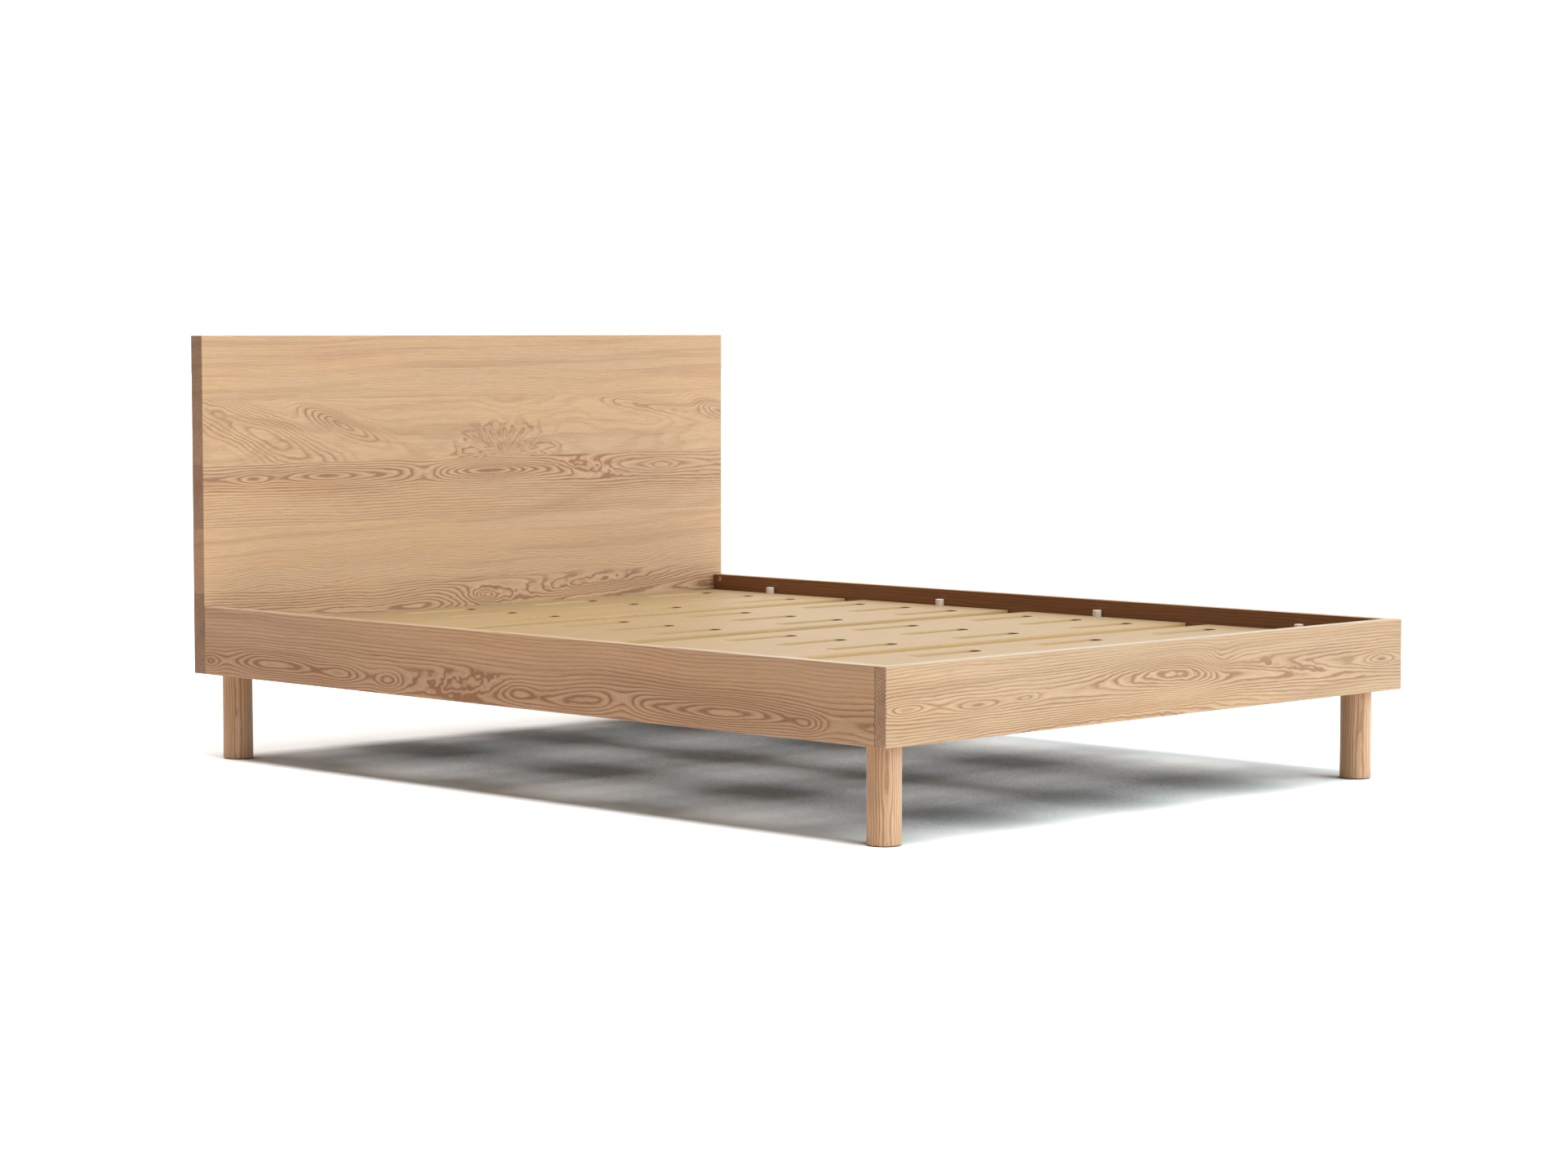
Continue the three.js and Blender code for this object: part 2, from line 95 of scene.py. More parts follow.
class Graph:
    """Adds nodes to one material. Numbers, tuples and sockets all go in, and a socket comes out."""

    def __init__(self, name):
        self.material = bpy.data.materials.new(name)
        self.material.use_nodes = True
        self.tree = self.material.node_tree
        self.tree.nodes.clear()

    def add(self, kind, inputs=None, **settings):
        node = self.tree.nodes.new(kind)
        for key, value in settings.items():
            setattr(node, key, value)
        for key, value in (inputs or {}).items():
            self.put(value, node.inputs[key])
        return node

    def put(self, value, socket):
        if isinstance(value, bpy.types.NodeSocket):
            self.tree.links.new(value, socket)
        elif isinstance(value, tuple) and socket.type == "RGBA":
            socket.default_value = (*value[:3], 1.0)
        else:
            socket.default_value = value

    def math(self, operation, *values, clamp=False):
        node = self.add("ShaderNodeMath", operation=operation, use_clamp=clamp)
        for value, socket in zip(values, node.inputs):
            self.put(value, socket)
        return node.outputs[0]

    def total(self, *values):
        result = values[0]
        for value in values[1:]:
            result = self.math("ADD", result, value)
        return result

    def product(self, *values):
        result = values[0]
        for value in values[1:]:
            result = self.math("MULTIPLY", result, value)
        return result

    def scaled(self, socket, factor, offset=0.0):
        return self.math("MULTIPLY_ADD", socket, factor, offset)

    def shaded(self, colour, brightness):
        inputs = {0: colour, "Scale": brightness}
        return self.add("ShaderNodeVectorMath", inputs, operation="SCALE").outputs[0]

    def tinted(self, colour, tint):
        return self.add("ShaderNodeVectorMath", {0: colour, 1: tint}, operation="MULTIPLY").outputs[0]

    def between(self, value, low, high, to_low=0.0, to_high=1.0):
        """Eases from to_low to to_high as value goes from low to high."""
        inputs = {"Value": value, "From Min": low, "From Max": high, "To Min": to_low, "To Max": to_high}
        return self.add("ShaderNodeMapRange", inputs, interpolation_type="SMOOTHSTEP").outputs[0]

    def mix(self, factor, first, second):
        """A mix of two colours, which are this node's inputs 6 and 7 and its output 2."""
        node = self.add("ShaderNodeMix", data_type="RGBA")
        self.put(factor, node.inputs[0])
        self.put(first, node.inputs[6])
        self.put(second, node.inputs[7])
        return node.outputs[2]

    def position(self):
        """The point in the bed's frame at rest, as three sockets."""
        point = self.add("ShaderNodeTexCoord").outputs["Object"]
        return self.add("ShaderNodeSeparateXYZ", {0: point}).outputs

    def facing(self):
        """The surface's direction, as three sockets."""
        normal = self.add("ShaderNodeTexCoord").outputs["Normal"]
        return self.add("ShaderNodeSeparateXYZ", {0: normal}).outputs

    def vector(self, x, y, z):
        return self.add("ShaderNodeCombineXYZ", {0: x, 1: y, 2: z}).outputs[0]

    def noise(self, x, y, z, detail=2.0, roughness=0.5):
        """Smooth noise of about 0 to 1, at a point already scaled to its grain size."""
        inputs = {"Vector": self.vector(x, y, z), "Scale": 1.0, "Detail": detail, "Roughness": roughness}
        return self.add("ShaderNodeTexNoise", inputs).outputs[0]

    def even_noise(self, scale, detail=2.0, roughness=0.5):
        """Noise with the same grain size in every direction."""
        return self.noise(*(self.scaled(socket, scale) for socket in self.position()), detail, roughness)

    def noise_along(self, value, detail=1.0):
        inputs = {"W": value, "Scale": 1.0, "Detail": detail}
        return self.add("ShaderNodeTexNoise", inputs, noise_dimensions="1D").outputs[0]

    def ramp(self, factor, stops, interpolation):
        """A colour ramp. Each stop is a place from 0 to 1, and a colour with or without its alpha."""
        node = self.add("ShaderNodeValToRGB", {"Fac": factor})
        ramp = node.color_ramp
        ramp.interpolation = interpolation
        while len(ramp.elements) > 1:
            ramp.elements.remove(ramp.elements[-1])
        for i, (place, value) in enumerate(stops):
            element = ramp.elements[0] if i == 0 else ramp.elements.new(place)
            element.position = place
            element.color = value if len(value) == 4 else (*value, 1.0)
        return node

    def bump(self, height, distance, strength=1.0):
        inputs = {"Height": height, "Distance": distance, "Strength": strength}
        return self.add("ShaderNodeBump", inputs).outputs[0]

    def finish(self, **inputs):
        shader = self.add("ShaderNodeBsdfPrincipled", inputs)
        output = self.add("ShaderNodeOutputMaterial")
        self.tree.links.new(shader.outputs[0], output.inputs[0])
        return self.material


def darker(colour, factor):
    return tuple(factor * c for c in colour)


def edge_closeness(graph, place, low, high, reach):
    """1 on the edges of a box and 0 from reach inwards, on the box's faces."""
    inside = []
    for socket, a, b in zip(place, low, high):
        from_low = graph.math("SUBTRACT", socket, a)
        from_high = graph.math("SUBTRACT", b, socket)
        inside.append(graph.math("MINIMUM", from_low, from_high))
    smaller = graph.math("MINIMUM", inside[0], inside[1])
    larger = graph.math("MAXIMUM", inside[0], inside[1])
    middle = graph.math("MAXIMUM", smaller, graph.math("MINIMUM", larger, inside[2]))
    return graph.between(middle, 0.0, reach, 1.0, 0.0)


def solid_wood(name, grain, across, box, staves, pale, line, seed, figures=(), inside=0, end_tint=END_TINT):
    """Sawn solid wood with its growth rings right through it.

    grain and across name the axes along the grain and across the face. What a stave and a figure hold is said
    at HEADBOARD_STAVES and HEADBOARD_KNOTS. inside is 1 or -1 if the board's high or low face is turned into
    the bed, and 0 if neither is; that face is darkened with painted shade.
    """
    graph = Graph(name)
    low, high = box
    places = graph.position()
    g, a = "XYZ".index(grain), "XYZ".index(across)
    d = 3 - g - a  # the axis that is left, through the board
    along = graph.math("SUBTRACT", places[g], low[g])
    side = graph.math("SUBTRACT", places[a], low[a])
    depth = graph.math("SUBTRACT", places[d], low[d])
    height = high[a] - low[a]

    # Each stave's own numbers, picked by where the point lies across the board. A ramp holds them as colours
    # of 0 to 1, so the small ones go in tenfold and the stave's number as tenths.
    share = graph.math("DIVIDE", side, height)
    edges = [0.0] + [stave[0] / height for stave in staves[:-1]]
    pick = [(edge, (stave[1], stave[2], stave[3] * 10, stave[4] * 10)) for edge, stave in zip(edges, staves)]
    chosen = graph.ramp(share, pick, "CONSTANT")
    parts = graph.add("ShaderNodeSeparateColor", {0: chosen.outputs["Color"]}).outputs
    pith_side, pith_depth = parts[0], parts[1]
    ring_width = graph.scaled(parts[2], 0.1)
    wander = graph.scaled(chosen.outputs["Alpha"], 0.1)
    tenths = [(edge, (i / 10, 0, 0)) for i, edge in enumerate(edges)]
    number = graph.ramp(share, tenths, "CONSTANT").outputs["Color"]
    number = graph.add("ShaderNodeSeparateColor", {0: number}).outputs[0]
    stave_number = graph.scaled(number, 10.0)
    stave_seed = graph.scaled(stave_number, 17.0, seed)

    def place_along(per_metre, *shift):
        return graph.total(graph.scaled(along, per_metre), stave_seed, *shift)

    def grain_noise(along_scale, across_scale, *settings):
        """Noise drawn out along the grain, different in every stave."""
        across_grain = (graph.scaled(socket, across_scale) for socket in (side, depth))
        return graph.noise(place_along(along_scale), *across_grain, *settings)

    # The pith wanders along the stave, which closes the rings into ovals on a flat-sawn face
    slow = graph.noise_along(place_along(1.9))
    quick = graph.noise_along(place_along(3.4, 40.0))
    swing = graph.product(graph.scaled(slow, 2.0, -1.0), wander)
    dip = graph.product(graph.scaled(quick, 2.0, -1.0), wander, 2.0)
    from_pith = graph.math("SUBTRACT", graph.math("SUBTRACT", side, pith_side), swing)
    below = graph.total(depth, pith_depth, dip)
    squares = graph.total(graph.product(from_pith, from_pith), graph.product(below, below))
    reach_from_pith = graph.math("SQRT", squares)

    # Slight waves in every ring
    waves = grain_noise(2.6, 20.0)
    ripples = grain_noise(22.0, 130.0, 1.0)
    radius = graph.total(reach_from_pith, graph.scaled(waves, 0.016, -0.008), graph.scaled(ripples, 0.0030))
    for knot_along, knot_side, half_length, half_height, strength, slant, curliness, branches in figures:
        du = graph.math("SUBTRACT", along, knot_along)
        dv = graph.math("SUBTRACT", side, knot_side)
        u = graph.scaled(du, 1 / half_length)
        v = graph.scaled(graph.math("ADD", dv, graph.product(du, slant)), 1 / half_height)
        spread = graph.total(graph.product(u, u), graph.product(v, v))
        bulge = graph.product(graph.math("EXPONENT", graph.math("MULTIPLY", spread, -1.0)), strength)
        if branches:
            angle = graph.math("ARCTAN2", v, u)
            curl = graph.noise(graph.scaled(angle, branches), graph.scaled(spread, 0.9), seed, 2.0)
        else:
            curl = graph.noise(graph.scaled(along, 34.0), graph.scaled(side, 40.0), seed, 1.0)
        bulge = graph.product(bulge, graph.scaled(curl, 2.0 * curliness, 1.0 - curliness))
        knot_stave = sum(knot_side > stave[0] for stave in staves)
        bulge = graph.product(bulge, graph.math("COMPARE", stave_number, float(knot_stave), 0.5))
        radius = graph.math("ADD", radius, bulge)

    # Porous early wood is the darker line at the start of each ring
    rings = graph.math("DIVIDE", radius, ring_width)
    phase = graph.math("FRACT", rings)
    early = graph.ramp(phase, [(0.0, (0.7,) * 3), (0.12, (1.0,) * 3), (0.45, (0.25,) * 3),
                               (0.75, (0.0,) * 3), (1.0, (0.25,) * 3)], "EASE").outputs[0]
    strength_by_ring = graph.noise_along(graph.math("FLOOR", rings))
    strength_by_place = grain_noise(2.2, 22.0)
    weight = graph.between(graph.total(strength_by_ring, strength_by_place), 0.72, 1.28, 0.4, 1.0)
    # Rings are boldest near the pith and round knots, and faint in a stave cut far from the pith
    steep = graph.between(reach_from_pith, 0.024, 0.085, 1.3, 0.58)
    steep = graph.product(steep, graph.between(reach_from_pith, 0.12, 0.22, 1.0, 0.4))
    bent_by = graph.math("ABSOLUTE", graph.math("SUBTRACT", radius, reach_from_pith))
    knotty = graph.between(bent_by, 0.006, 0.018, 0.0, 0.75)
    lines = graph.product(early, weight, graph.math("ADD", steep, knotty))

    # Broad soft streaks that climb a little, and fine threads, both bent round the knots
    climb = graph.total(graph.scaled(side, 26.0), graph.scaled(radius, 20.0), graph.scaled(along, -1.0))
    streak = graph.between(graph.noise(place_along(0.9, 9.0), climb, 0.0, 3.0, 0.6), 0.48, 0.64)
    bend = graph.total(graph.scaled(side, 110.0), graph.scaled(radius, 90.0))
    threads = graph.noise(place_along(3.0, 21.0), bend, graph.scaled(depth, 110.0), 3.0, 0.65)
    thread = graph.between(threads, 0.42, 0.68)

    # Fine fibres and pores, drawn out along the grain
    fibre = grain_noise(22.0, 1100.0, 3.0, 0.6)
    pores = grain_noise(130.0, 1700.0)
    pore = graph.product(graph.between(pores, 0.56, 0.68), graph.total(graph.scaled(early, 0.75), 0.25))

    # Broad shade changes within a stave and between staves
    shade = grain_noise(1.1, 13.0)
    stave_shade = graph.noise_along(graph.total(stave_seed, 7.3))

    colour = graph.mix(graph.total(graph.scaled(streak, 0.27), graph.scaled(thread, 0.18)), pale, line)
    colour = graph.mix(graph.math("MULTIPLY", lines, 1.15, clamp=True), colour, line)
    dark_fibre = darker(line, 0.80)
    colour = graph.mix(graph.product(graph.between(fibre, 0.40, 0.72), 0.34), colour, dark_fibre)
    colour = graph.mix(graph.product(pore, 0.45), colour, darker(line, 0.45))
    colour = graph.mix(graph.between(shade, 0.34, 0.70), colour, graph.tinted(colour, SHADE_TINT))
    brightness = graph.total(graph.scaled(shade, 0.20, 0.92), graph.scaled(stave_shade, 0.10, -0.05))
    colour = graph.shaded(colour, brightness)

    # End grain drinks more oil, so it is darker and speckled with pores
    normal = graph.facing()
    end_face = graph.between(graph.math("ABSOLUTE", normal[g]), 0.6, 0.8)
    speckle = graph.noise(0.0, graph.scaled(side, 900.0), graph.scaled(depth, 900.0), 2.0)
    rays = graph.noise(0.0, graph.scaled(side, 260.0), graph.scaled(depth, 90.0), 3.0, 0.6)
    end_shade = graph.total(graph.scaled(speckle, 0.9, 0.02), graph.scaled(rays, 0.5))
    end_shade = graph.product(end_shade, graph.scaled(stave_shade, 0.9, 0.55))
    end_colour = graph.shaded(graph.tinted(colour, end_tint), end_shade)
    colour = graph.mix(end_face, colour, end_colour)

    # Painted highlight: faces turned upwards are made paler and cooler, standing in for the sheen of light
    # from above
    upward = graph.between(normal[2], 0.6, 0.8)
    colour = graph.mix(upward, colour, graph.tinted(colour, TOP_HIGHLIGHT_TINT))

    # Painted shade: the face turned into the bed is darkened, as it lies in the bed's shade
    if inside:
        painted_inside_shade = graph.between(graph.scaled(normal[d], inside), 0.6, 0.8)
        colour = graph.mix(painted_inside_shade, colour, graph.tinted(colour, INSIDE_SHADE_TINT))

    # Handling wears the edges a little paler and smoother, unevenly
    patches = graph.even_noise(14.0)
    closeness = edge_closeness(graph, places, low, high, EDGE_WEAR_REACH)
    worn = graph.product(closeness, graph.between(patches, 0.35, 0.65, 0.15, 0.6))
    worn_colour = tuple(c * lift for c, lift in zip(pale, WORN_TINT))
    colour = graph.mix(graph.product(worn, 0.18), colour, worn_colour)

    roughness = graph.total(graph.scaled(lines, 0.10, 0.40), graph.scaled(pore, 0.18))
    roughness = graph.total(roughness, graph.scaled(patches, 0.08), graph.scaled(worn, -0.08))
    relief = graph.math("SUBTRACT", graph.scaled(fibre, 0.25), graph.total(pore, graph.scaled(lines, 0.35)))
    return graph.finish(**{"Base Color": colour, "Roughness": roughness, "Specular IOR Level": 0.28,
                           "Normal": graph.bump(relief, 0.12 * MM, 0.6)})


def plywood(name, low, high, seed):
    """Sanded plywood: a face veneer with its grain across the bed, and plies along every cut edge."""
    graph = Graph(name)
    x, y, z = graph.position()
    normal = graph.facing()
    bend = graph.noise(graph.total(graph.scaled(x, 1.3), seed), graph.scaled(y, 9.0), 0.0, 3.0)
    place = graph.total(graph.scaled(x, 2.0), seed, graph.scaled(bend, 1.5))
    lines = graph.noise(place, graph.scaled(y, 85.0), 0.0, 3.0, 0.6)
    fibre = graph.noise(graph.total(graph.scaled(x, 20.0), seed), graph.scaled(y, 900.0), 0.0, 2.0)
    face = graph.mix(graph.between(lines, 0.42, 0.66, 0.0, 0.55), PLY_FACE, PLY_STREAK)
    face = graph.mix(graph.product(graph.between(fibre, 0.45, 0.75), 0.30), face, darker(PLY_STREAK, 0.7))
    face = graph.shaded(face, graph.scaled(bend, 0.16, 0.94))

    level = graph.scaled(graph.math("SUBTRACT", z, low[2]), PLIES / (high[2] - low[2]))
    layer = graph.math("FLOOR", level)
    odd = graph.math("MODULO", layer, 2.0)
    from_middle = graph.math("ABSOLUTE", graph.math("SUBTRACT", graph.math("FRACT", level), 0.5))
    glue_line = graph.between(from_middle, 0.40, 0.5)
    grit = graph.noise(graph.scaled(x, 700.0), graph.scaled(y, 700.0), graph.scaled(z, 900.0), 2.0)
    layer_shade = graph.noise_along(graph.scaled(layer, 3.7, seed))
    edge = graph.mix(graph.scaled(odd, 0.6), PLY_EDGE_LONG, PLY_EDGE_END)
    edge = graph.shaded(edge, graph.total(graph.scaled(grit, 0.4, 0.66), graph.scaled(layer_shade, 0.25)))
    edge = graph.mix(graph.scaled(glue_line, 0.6), edge, graph.tinted(edge, GLUE_TINT))
    # Walls across the veneer's grain, such as slot ends, are darker: partly end grain, partly painted shade
    across_grain = graph.between(graph.math("ABSOLUTE", normal[0]), 0.35, 0.85)
    edge = graph.mix(across_grain, edge, graph.tinted(edge, END_GRAIN_AND_SHADE_TINT))
    is_edge = graph.math("SUBTRACT", 1.0, graph.between(graph.math("ABSOLUTE", normal[2]), 0.5, 0.8))
    colour = graph.mix(is_edge, face, edge)
    roughness = graph.total(graph.scaled(fibre, 0.14, 0.52), graph.scaled(is_edge, 0.12))
    relief = graph.total(graph.scaled(fibre, 0.4), graph.scaled(graph.product(grit, is_edge), 1.5))
    return graph.finish(**{"Base Color": colour, "Roughness": roughness, "Specular IOR Level": 0.3,
                           "Normal": graph.bump(relief, 0.1 * MM)})


def moulded_plastic():
    graph = Graph("pale_peg_plastic")
    orange_peel = graph.even_noise(600.0)
    handled = graph.even_noise(60.0, 3.0)
    colour = graph.mix(graph.between(handled, 0.4, 0.7), PEG_COLOUR, darker(PEG_COLOUR, 0.9))
    roughness = graph.scaled(handled, 0.25, 0.33)
    return graph.finish(**{"Base Color": colour, "Roughness": roughness,
                           "Normal": graph.bump(orange_peel, 0.03 * MM)})


def zinc_plate():
    graph = Graph("zinc_plated_steel")
    x, y, z = graph.position()
    cloud = graph.even_noise(90.0, 4.0, 0.6)
    grind = graph.noise(graph.scaled(x, 900.0), graph.scaled(y, 900.0), graph.scaled(z, 3000.0), 2.0)
    colour = graph.mix(graph.between(cloud, 0.35, 0.65), ZINC_COLOUR, PASSIVATED_COLOUR)
    roughness = graph.total(graph.scaled(cloud, 0.22, 0.20), graph.scaled(grind, 0.10))
    return graph.finish(**{"Base Color": colour, "Roughness": roughness, "Metallic": 1.0,
                           "Normal": graph.bump(grind, 0.02 * MM)})


def pressed_felt():
    graph = Graph("pressed_felt")
    fuzz = graph.even_noise(1600.0, 4.0, 0.7)
    clump = graph.even_noise(220.0, 3.0)
    colour = graph.shaded(FELT_COLOUR, graph.total(graph.scaled(fuzz, 0.9, 0.4), graph.scaled(clump, 0.4)))
    return graph.finish(**{"Base Color": colour, "Roughness": 0.95, "Sheen Weight": 0.4,
                           "Normal": graph.bump(fuzz, 0.25 * MM)})


# ---- Sizes read from the CAD model ----

BOXES = {}


def box_of(node):
    """A node's low and high corners in metres, kept for later calls."""
    if node not in BOXES:
        low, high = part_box(node)
        BOXES[node] = (tuple(low), tuple(high))
    return BOXES[node]


def names(start):
    return [name for name in frame["nodes"] if name.startswith(start)]


# ---- Materials of each piece ----

# Each stave's upper edge, its pith's place across and depth below the face, its ring width and how far its
# pith wanders, in metres from the board's low corner
HEADBOARD_STAVES = (
    (0.177, 0.128, 0.020, 0.0058, 0.008),
    (0.320, 0.100, 0.060, 0.0050, 0.020),
    (0.462, 0.430, 0.013, 0.0064, 0.005),
    (0.605, 0.470, 0.250, 0.0070, 0.006),
    (0.750, 0.420, 0.070, 0.0050, 0.012),
)

# Each knot's place along and across the board, half length, half height, strength, slant, curliness and
# branches. Rings close round a knot of negative strength and pinch together at one of positive strength.
HEADBOARD_KNOTS = (
    (0.000, 0.600, 0.380, 0.050, -0.060, 0.42, 0.05, 0),
    (0.385, 0.550, 0.120, 0.024, -0.040, 0.34, 0.05, 0),
    (0.880, 0.468, 0.160, 0.078, 0.030, 0.0, 1.3, 3.4),
    (1.330, 0.580, 0.190, 0.020, -0.030, 0.12, 0.15, 0),
    (1.580, 0.565, 0.080, 0.022, -0.034, 0.30, 0.05, 0),
    (0.140, 0.430, 0.048, 0.017, -0.014, 0.0, 0.05, 0),
    (0.340, 0.432, 0.110, 0.018, -0.020, 0.0, 0.05, 0),
    (0.640, 0.430, 0.050, 0.018, 0.010, 0.0, 0.05, 0),
    (0.870, 0.430, 0.150, 0.020, -0.026, 0.0, 0.05, 0),
    (1.150, 0.432, 0.110, 0.020, 0.022, 0.1, 0.45, 0),
    (1.390, 0.430, 0.048, 0.017, -0.014, 0.0, 0.05, 0),
    (0.520, 0.118, 0.240, 0.018, -0.018, 0.0, 0.10, 0),
    (0.820, 0.135, 0.070, 0.020, 0.028, 0.0, 0.30, 0),
    (1.120, 0.145, 0.260, 0.024, 0.036, -0.05, 0.20, 0),
)
FOOT_STAVES = ((0.150, 0.068, 0.022, 0.0060, 0.006),)
FOOT_KNOTS = (
    (0.050, 0.068, 0.065, 0.013, -0.016, 0.0, 0.10, 0),
    (0.260, 0.062, 0.075, 0.013, -0.018, 0.0, 0.10, 0),
    (0.390, 0.066, 0.040, 0.010, -0.010, 0.0, 0.05, 0),
    (0.800, 0.090, 0.190, 0.028, -0.034, 0.03, 0.15, 0),
    (0.980, 0.100, 0.050, 0.030, 0.018, 0.0, 0.15, 0),
    (1.200, 0.075, 0.190, 0.014, 0.018, 0.10, 0.30, 0),
    (1.520, 0.070, 0.055, 0.014, -0.016, 0.0, 0.05, 0),
    (0.700, 0.012, 0.400, 0.022, 0.022, -0.03, 0.20, 0),
)
SIDE_STAVES = ((0.150, 0.036, 0.022, 0.0080, 0.008),)
SIDE_KNOTS = (
    (2.030, 0.030, 0.038, 0.020, -0.020, 0.0, 0.05, 0),
    (1.780, 0.038, 0.150, 0.028, -0.036, 0.0, 0.05, 0),
    (1.565, 0.032, 0.080, 0.022, -0.022, 0.0, 0.05, 0),
    (1.405, 0.028, 0.040, 0.020, -0.020, 0.0, 0.05, 0),
    (1.170, 0.038, 0.130, 0.026, 0.036, 0.05, 0.45, 0),
    (1.000, 0.032, 0.060, 0.020, -0.020, 0.0, 0.05, 0),
    (0.860, 0.024, 0.120, 0.024, -0.024, 0.05, 0.10, 0),
    (0.680, 0.030, 0.050, 0.024, 0.016, 0.0, 0.05, 0),
    (0.410, 0.036, 0.190, 0.028, -0.040, 0.0, 0.05, 0),
    (0.170, 0.030, 0.040, 0.020, -0.020, 0.0, 0.05, 0),
)
LEG_STAVES = ((0.066, -0.080, 0.010, 0.0050, 0.004),)
SUPPORT_STAVES = ((1.0, 0.01, 0.030, 0.0040, 0.014),)


def ash(node, grain, across, staves, seed, figures=(), pale=ASH_PALE, line=ASH_LINE, **finish):
    box = box_of(node)
    return solid_wood(f"ash_{node}", grain, across, box, staves, pale, line, seed, figures, **finish)


def pine(node, grain, across, seed):
    box = box_of(node)
    return solid_wood(f"pine_{node}", grain, across, box, SUPPORT_STAVES, PINE_PALE, PINE_LINE, seed)


FINISH = {
    "headboard": ash("headboard", "X", "Z", HEADBOARD_STAVES, 3.1, HEADBOARD_KNOTS, HEADBOARD_PALE,
                     end_tint=HEADBOARD_END_TINT),
    "foot_rail": ash("foot_rail", "X", "Z", FOOT_STAVES, 17.7, FOOT_KNOTS, FOOT_PALE, FOOT_LINE,
                     end_tint=FOOT_END_TINT),
    "side_rail_left": ash("side_rail_left", "Y", "Z", SIDE_STAVES, 29.3, SIDE_KNOTS, inside=1),
    "side_rail_right": ash("side_rail_right", "Y", "Z", SIDE_STAVES, 41.9, inside=-1),
    "centre_beam": pine("centre_beam", "Y", "Z", 53.3),
}
for i, node in enumerate(names("leg_head") + names("leg_foot")):
    FINISH[node] = ash(node, "Z", "X", LEG_STAVES, 61.0 + 7 * i, pale=LEG_PALE, line=LEG_LINE)
for i, node in enumerate(names("side_cleat")):
    FINISH[node] = pine(node, "Y", "Z", 97.0 + 7 * i)
for i, node in enumerate(names("corner_block")):
    FINISH[node] = pine(node, "X", "Y", 121.0 + 7 * i)
for i, node in enumerate(names("deck_panel")):
    FINISH[node] = plywood(f"plywood_{node}", *box_of(node), 11.0 * (i + 1))
SHARED = {"peg": moulded_plastic(), "glide": pressed_felt()}
ZINC = zinc_plate()
for node in frame["nodes"]:
    if node not in FINISH:
        FINISH[node] = SHARED.get(node.split("_")[0], ZINC)
BODIES = frame["record"]["behaviour"]["bodies"]


def paint(obj, material):
    obj.data.materials.clear()
    obj.data.materials.append(material)


for node, obj in frame["nodes"].items():
    paint(obj, FINISH[node])


# ---- Shapes ----

def new_object(name, data):
    obj = bpy.data.objects.new(name, data)
    bpy.context.scene.collection.objects.link(obj)
    return obj


def baked(obj):
    """The object with its modifiers made part of its mesh."""
    shown = obj.evaluated_get(bpy.context.evaluated_depsgraph_get())
    mesh = bpy.data.meshes.new_from_object(shown)
    mesh.name = obj.name
    obj.modifiers.clear()
    obj.data = mesh
    return obj


def body_of(node):
    for body, members in BODIES.items():
        if node in members:
            return body
    raise ValueError(node)


def stand_in(obj, node):
    """obj is shown in place of the CAD node, with its finish and on its body."""
    paint(obj, FINISH[node])
    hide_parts(node)
    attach(obj, body_of(node))


def softened(node, width=0.4 * MM):
    """Shows the CAD node's own shape with every sharp edge rounded a little, inside its own faces."""
    mesh = frame["nodes"][node].data.copy()
    edit = bmesh.new()
    edit.from_mesh(mesh)
    bmesh.ops.remove_doubles(edit, verts=edit.verts, dist=1e-6)
    bmesh.ops.dissolve_limit(edit, angle_limit=radians(1), verts=edit.verts, edges=edit.edges)
    bmesh.ops.recalc_face_normals(edit, faces=edit.faces)
    for face in edit.faces:
        face.smooth = True
    edit.to_mesh(mesh)
    edit.free()
    obj = new_object(f"{node}_shown", mesh)
    bevel = obj.modifiers.new("round", "BEVEL")
    bevel.width = width
    bevel.segments = 2
    bevel.limit_method = "ANGLE"
    bevel.angle_limit = radians(35)
    # The big faces stay flat in their shading right up to the rounded edges
    level = obj.modifiers.new("level", "WEIGHTED_NORMAL")
    level.weight = 100
    level.keep_sharp = True
    stand_in(baked(obj), node)


def lathe(name, profile, centre, facets=96):
    """A solid of revolution about a vertical axis at centre. The profile's points are (radius, height)."""
    edit = bmesh.new()
    rings = []
    for radius, height in profile:
        if radius == 0:
            rings.append([edit.verts.new((centre[0], centre[1], height))])
            continue
        ring = []
        for i in range(facets):
            angle = 2 * pi * i / facets
            x, y = centre[0] + radius * cos(angle), centre[1] + radius * sin(angle)
            ring.append(edit.verts.new((x, y, height)))
        rings.append(ring)
    for lower, upper in zip(rings, rings[1:]):
        for i in range(facets):
            j = (i + 1) % facets
            if len(lower) == 1:
                edit.faces.new((lower[0], upper[j], upper[i]))
            elif len(upper) == 1:
                edit.faces.new((lower[i], lower[j], upper[0]))
            else:
                edit.faces.new((lower[i], lower[j], upper[j], upper[i]))
    bmesh.ops.recalc_face_normals(edit, faces=edit.faces)
    mesh = bpy.data.meshes.new(name)
    edit.to_mesh(mesh)
    edit.free()
    mesh.shade_smooth()
    mesh.set_sharp_from_angle(angle=radians(32))
    return new_object(name, mesh)


def arc(centre, radius, start, end, steps):
    """Points (r, z) round a quarter or so of a circle, angles in degrees."""
    points = []
    for i in range(steps + 1):
        angle = radians(start + (end - start) * i / steps)
        points.append((centre[0] + radius * cos(angle), centre[1] + radius * sin(angle)))
    return points


def centre_of(node):
    low, high = box_of(node)
    return tuple((a + b) / 2 for a, b in zip(low, high))


# ---- Boards and supports ----

for node in ("headboard", "foot_rail", "side_rail_left", "side_rail_right", "centre_beam"):
    softened(node)
for node in names("side_cleat") + names("corner_block") + names("deck_panel"):
    softened(node)
for node in names("beam_hanger"):
    softened(node, 0.25 * MM)

# ---- Legs, glides and pegs ----

